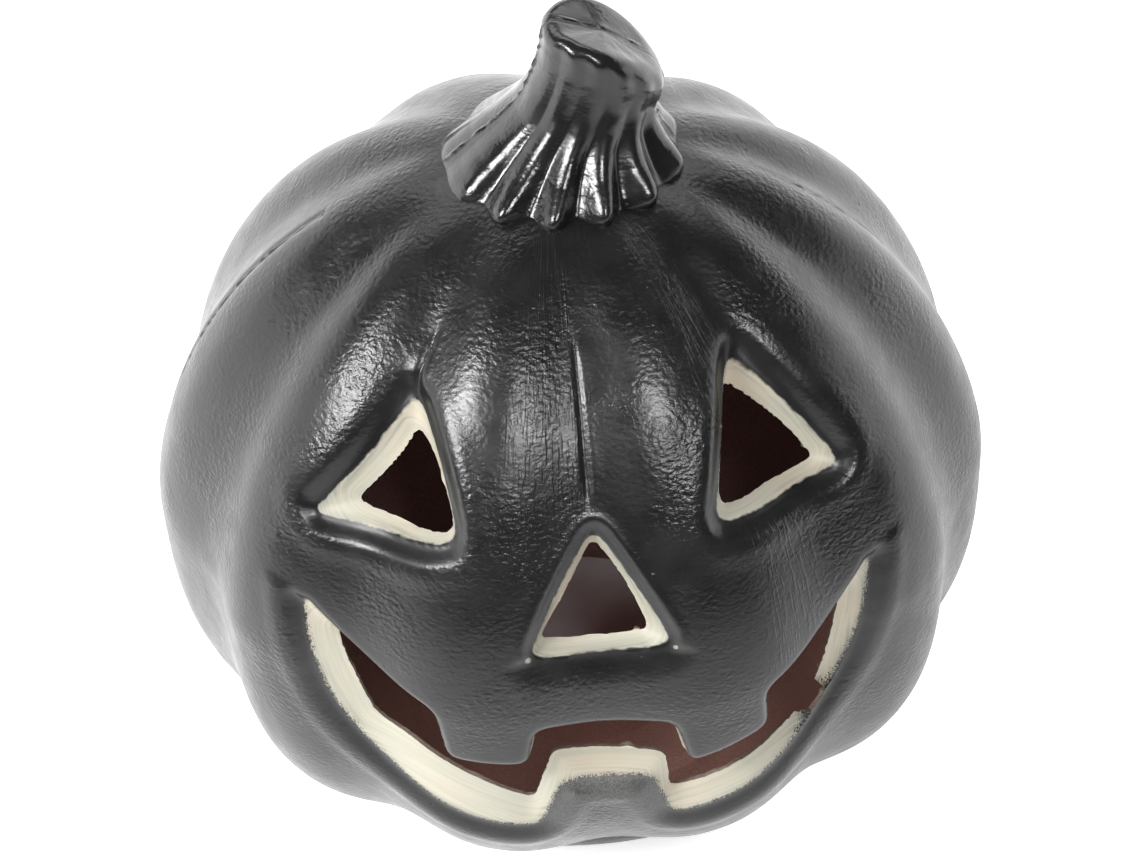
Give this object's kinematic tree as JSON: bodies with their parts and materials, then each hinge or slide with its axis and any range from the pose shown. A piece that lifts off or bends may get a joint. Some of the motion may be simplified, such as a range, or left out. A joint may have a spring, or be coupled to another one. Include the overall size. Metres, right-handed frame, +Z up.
{
  "type": "jack-o'-lantern figure",
  "caption": "Hollow black pumpkin lantern with a cut smiling face, a curved stem and a battery light unit that pushes into its base.",
  "frame": {"origin": "on the floor, under the middle of the pumpkin body", "axes": "+Z up, the face looks along -Y, +X to the viewer's right"},
  "size_m": [0.1872, 0.1801, 0.1972],
  "materials": {
    "black_shell": "satin black paint over moulded plastic, cream paint on the ledges of the face",
    "housing_plastic": "smooth moulded",
    "zinc_screw": "zinc plated",
    "cell_steel": "bright pressed steel",
    "contact_metal": "plated spring steel",
    "circuit_board": "solder resist",
    "amber_lens": "clear tinted lens",
    "black_epoxy": "cured blob",
    "resistor_body": "coated",
    "black_wire": "insulated wire",
    "red_wire": "insulated wire",
    "switch_steel": "pressed tin plate",
    "switch_plastic": "moulded"
  },
  "bodies": {
    "pumpkin": {"shell": "black_shell"},
    "light_unit": {"light_housing": "housing_plastic", "light_cover": "housing_plastic", "cover_screw_1": "zinc_screw", "cover_screw_2": "zinc_screw", "cover_screw_3": "zinc_screw", "button_cell_1": "cell_steel", "button_cell_2": "cell_steel", "button_cell_3": "cell_steel", "contact_spring": "contact_metal", "contact_plate_negative": "contact_metal", "contact_plate_positive": "contact_metal", "led_board": "circuit_board", "led": "amber_lens", "flicker_chip": "black_epoxy", "resistor": "resistor_body", "wire_negative": "black_wire", "wire_positive": "red_wire", "switch_body": "switch_steel"},
    "door": {"battery_door": "housing_plastic"},
    "slider": {"switch_slider": "switch_plastic"}
  },
  "joints": [
    {"name": "light_unit_slide", "type": "slide", "parent": "pumpkin", "child": "light_unit", "axis": [0, 0, -1], "range_m": [0, 0.05]},
    {"name": "battery_door_hinge", "type": "hinge", "parent": "light_unit", "child": "door", "pos_m": [-0.0117, 0.0087, 0.002], "axis": [0, 1, 0], "range_deg": [0, 90]},
    {"name": "switch_slide", "type": "slide", "parent": "light_unit", "child": "slider", "axis": [1, 0, 0], "range_m": [0, 0.004]}
  ]
}
